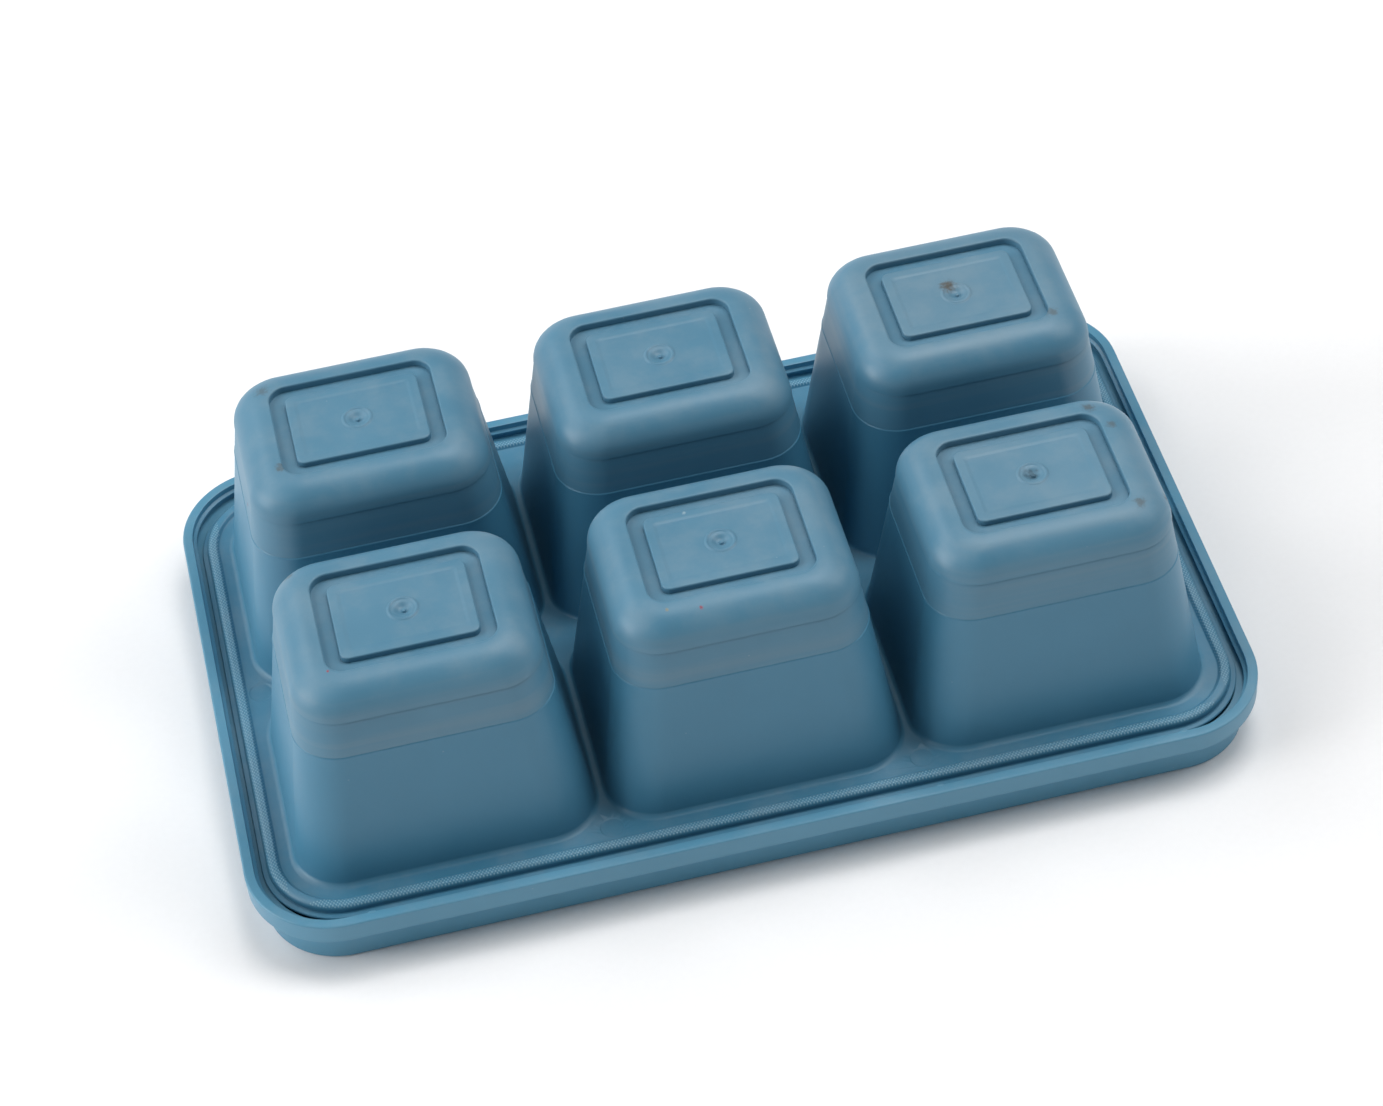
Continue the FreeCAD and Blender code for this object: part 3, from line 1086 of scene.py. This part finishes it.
@dataclass
class MoatFloor:
    """The thin floor of the moat, in four mitred strips."""

    SIDES = {"right": (1, 0), "left": (-1, 0), "back": (0, 1), "front": (0, -1)}
    LOOPS = 8

    finish: Material
    outer: tuple[float, float, float] = (27.4, 21.1, 3.0)
    inner: tuple[float, float, float] = (22.4, 16.2, 1.4)
    top: float = 46.5
    thickness: float = 0.7
    lap: float = 0.25

    def build(self, cups: Sequence[Cup]) -> None:
        """Model the four strips once and set copies in each cup's end.

        Args:
            cups: The cups that get a moat floor.
        """
        still, moved = self._hinge()
        for side, towards in self.SIDES.items():
            master = self._strip(side, Vector(towards), still, moved)
            for cup in cups:
                strip = copy_of(master, f"moat_{side}_{cup.label}", cup.centre)
                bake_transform(strip)
                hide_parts(f"hinge_web_{cup.label}")
            discard(master)
        LOG.info("moat floors: %d strips", len(self.SIDES) * len(cups))

    def _hinge(self) -> tuple[Vector, Vector]:
        """The two points in plan that each mitre runs through: the middle of the moat's outer corner arc, and
        the pad's corner.
        """
        inward = self.outer[2] * (1 - math.sqrt(0.5))
        still = Vector((self.outer[0] / 2 - inward, self.outer[1] / 2 - inward))
        return still, Vector((self.inner[0] / 2, self.inner[1] / 2))

    def _strip(self, side: str, towards: Vector, still: Vector, moved: Vector) -> Piece:
        """One side of the ring about the middle, cut at its two mitres."""
        strip = self._ring(f"moat_{side}")
        for sign in (-1, 1):
            corner = Vector((towards.x or sign, towards.y or sign))
            first = Vector((still.x * corner.x, still.y * corner.y))
            second = Vector((moved.x * corner.x, moved.y * corner.y))
            mitre = (first - second).normalized()
            across = Vector((-mitre.y, mitre.x))
            if across.dot(towards) < 0:
                across = -across
            cut_wedge(strip, Vector((first.x, first.y, 0)) * MM, Vector((across.x, across.y, 0)))
        dress(strip, self.finish, weighted=False)
        return strip

    def _ring(self, name: str) -> Piece:
        """The whole ring before it is cut, with loops enough to bend smoothly."""
        outer = Outline.sized(*self.outer)
        inner = Outline.sized(*self.inner).inset(self.lap)
        skin = Skin(name, outer.inset(-self.lap), self.top, steps=8)
        for step in range(0, self.LOOPS + 1):
            skin.level(self._between(outer, inner, step / self.LOOPS), self.top)
        for step in range(self.LOOPS, -1, -1):
            skin.level(self._between(outer, inner, step / self.LOOPS), self.top - self.thickness)
        skin.level(outer.inset(-self.lap), self.top - self.thickness)
        skin.level(outer.inset(-self.lap), self.top)
        return skin.done()

    @staticmethod
    def _between(outer: Outline, inner: Outline, part: float) -> Outline:
        """An outline part of the way from one to the other."""
        return Outline(*(a + (b - a) * part for a, b in zip(astuple(outer), astuple(inner))))


# ---- the studio


def direction(turn: float, tilt: float) -> Vector:
    """The way out from the mould at a bearing from the front and a height, in radians."""
    return Vector((math.sin(turn) * math.cos(tilt), -math.cos(turn) * math.cos(tilt), math.sin(tilt)))


@dataclass(frozen=True)
class Softbox:
    """A large soft lamp aimed at the mould: its bearing, its height, its size and its power.

    The bearing is in degrees from the front, towards the right; the height is in
    degrees above the floor; the distance and the size are in metres.
    """

    name: str
    bearing: float
    height: float
    power: float
    size: float = 1.0
    distance: float = 2.0
    aim: float = 0.02

    def hang(self) -> None:
        """Hang the lamp, aimed a little above the floor."""
        lamp = bpy.data.lights.new(self.name, "AREA")
        lamp.shape = "SQUARE"
        lamp.size = self.size
        lamp.energy = self.power
        holder = bpy.data.objects.new(self.name, lamp)
        bpy.context.scene.collection.objects.link(holder)
        away = direction(math.radians(self.bearing), math.radians(self.height))
        holder.location = away * self.distance + Vector((0.0, 0.0, self.aim))
        holder.rotation_mode = "QUATERNION"
        holder.rotation_quaternion = (-away).to_track_quat("-Z", "Y")


@dataclass
class Studio:
    """The pale floor, the soft light and the camera."""

    azimuth: float = -8.91
    elevation: float = 46.61
    roll: float = -5.59
    distance: float = 0.618
    target: tuple[float, float, float] = (0.0003, 0.0106, 0.0108)
    lens: float = 93.2
    floor_size: float = 4.0
    softboxes: tuple[Softbox, ...] = (
        Softbox("left_low", 270.0, 20.0, 18.0),
        Softbox("left_high", 270.0, 45.0, 8.0),
        Softbox("back_left", 225.0, 45.0, 10.0),
        Softbox("right", 90.0, 45.0, 12.0),
        Softbox("back_right_high", 135.0, 70.0, 20.0),
    )

    def build(self) -> None:
        """Set the floor, the lights and the camera up."""
        self._floor()
        for softbox in self.softboxes:
            softbox.hang()
        self._sky()
        self._camera()
        scene = bpy.context.scene
        scene.view_settings.view_transform = "Standard"
        scene.view_settings.look = "None"
        scene.view_settings.exposure = 0.0
        scene.view_settings.gamma = 1.0
        LOG.info("studio: %d softboxes", len(self.softboxes))

    def _floor(self) -> None:
        """A pale matt floor."""
        deselect_all()
        bpy.ops.mesh.primitive_plane_add(size=self.floor_size, location=(0.0, 0.0, 0.0))
        floor = bpy.context.object
        floor.name = "studio_floor"
        material = bpy.data.materials.new("studio_paper")
        material.use_nodes = True
        board = Board(material.node_tree)
        shader = material.node_tree.nodes["Principled BSDF"]
        place = board.add("ShaderNodeTexCoord").outputs["Object"]
        fibre = board.noise(place, 900.0, 3.0)
        board.feed(shader.inputs["Base Color"], board.blend(fibre, (0.90, 0.90, 0.905), (0.93, 0.93, 0.935)))
        shader.inputs["Roughness"].default_value = 0.9
        shader.inputs["Specular IOR Level"].default_value = 0.2
        floor.data.materials.append(material)

    def _sky(self) -> None:
        """A pale surround that is bright along the horizon and dark overhead."""
        world = bpy.data.worlds.new("surround")
        bpy.context.scene.world = world
        world.use_nodes = True
        board = Board(world.node_tree)
        backdrop = world.node_tree.nodes["Background"]
        split = board.add("ShaderNodeSeparateXYZ")
        board.feed(split.inputs[0], board.add("ShaderNodeTexCoord").outputs["Generated"])
        board.feed(backdrop.inputs["Color"], (1.0, 1.0, 1.0, 1.0))
        board.feed(backdrop.inputs["Strength"], board.spread(split.outputs["Z"], 0.6, 0.1, 0.04, 0.66))

    def _camera(self) -> None:
        """The camera, placed by its angles and its distance from the target."""
        turn, tilt, roll = (math.radians(a) for a in (self.azimuth, self.elevation, self.roll))
        back = direction(turn, tilt)
        right = (-back).cross(Vector((0.0, 0.0, 1.0))).normalized()
        up = right.cross(-back)
        rolled_right = math.cos(roll) * right + math.sin(roll) * up
        rolled_up = math.cos(roll) * up - math.sin(roll) * right
        lens = bpy.data.cameras.new("camera")
        lens.lens = self.lens
        lens.sensor_width = 36.0
        lens.clip_start = 0.01
        lens.clip_end = 20.0
        camera = bpy.data.objects.new("camera", lens)
        bpy.context.scene.collection.objects.link(camera)
        turned = Matrix((rolled_right, rolled_up, back)).transposed().to_4x4()
        camera.matrix_world = Matrix.Translation(Vector(self.target) + back * self.distance) @ turned
        bpy.context.scene.camera = camera


@dataclass(frozen=True)
class Palette:
    """The mould's own finishes."""

    lid: MouldedFinish = MouldedFinish(
        "lid_plastic", (0.076, 0.246, 0.368), (0.088, 0.266, 0.392), 0.35, 0.12, 0.35)
    tray: MouldedFinish = MouldedFinish(
        "tray_plastic", (0.052, 0.198, 0.312), (0.061, 0.214, 0.332), 0.40, 0.14, 0.5,
        tool_marks_and_highlight=True, rim_height=9.4)
    soft: MouldedFinish = MouldedFinish(
        "soft_silicone", (0.066, 0.197, 0.298), (0.082, 0.220, 0.324), 0.42, 0.16, 0.6,
        streaks=0.35,
        smudges_and_shade=(
            SmudgeAndShade((-66.0, 33.2, 47.7), 1.8, 0.45),
            SmudgeAndShade((-65.7, 14.2, 47.8), 1.3, 0.6),
            SmudgeAndShade((-68.0, -8.9, 45.8), 1.6, 0.45),
            SmudgeAndShade((65.4, 12.8, 47.8), 1.5, 0.5),
            SmudgeAndShade((50.6, 24.4, 47.5), 1.9, 0.85),
            # Painted shade: a dark patch that deepens the front-right cup's gate dimple.
            SmudgeAndShade((51.4, -22.2, 47.3), 1.7, 0.75, (0.03, 0.07, 0.10)),
            SmudgeAndShade((64.6, -10.6, 47.7), 1.5, 0.6),
            SmudgeAndShade((66.9, -15.4, 47.7), 1.3, 0.5),
            SmudgeAndShade((66.0, -33.3, 47.6), 1.4, 0.5),
            SmudgeAndShade((71.0, -31.1, 44.8), 1.2, 0.5),
            SmudgeAndShade((-6.2, -35.4, 47.4), 0.45, 1.0, RED_FLECK),
            SmudgeAndShade((-65.0, -32.3, 47.8), 0.40, 1.0, RED_FLECK),
            SmudgeAndShade((-72.1, 16.4, 38.7), 0.40, 1.0, RED_FLECK),
            SmudgeAndShade((-11.5, -34.5, 47.7), 0.45, 0.6, (0.32, 0.26, 0.12)),
            SmudgeAndShade((-4.3, -14.8, 47.6), 0.45, 0.6, (0.40, 0.50, 0.55)),
        ))


def main() -> None:
    """Build the mould piece by piece, then the studio round it."""
    logging.basicConfig(level=logging.INFO, format="%(name)s %(message)s")
    groups = {"grain": grain_group(), "dust": dust_group(), "smudge": smudge_and_shade_group()}
    palette = Palette()
    lid_finish, tray_finish, soft_finish = (
        finish.make(groups) for finish in (palette.lid, palette.tray, palette.soft))
    cups = all_cups()
    Lid(lid_finish).build()
    TrayFrame(cups, tray_finish).build()
    SoftBase(soft_finish).build(cups)
    PressPad(soft_finish).build(cups)
    MoatFloor(soft_finish).build(cups)
    Studio().build()


if __name__ == "__main__":
    main()
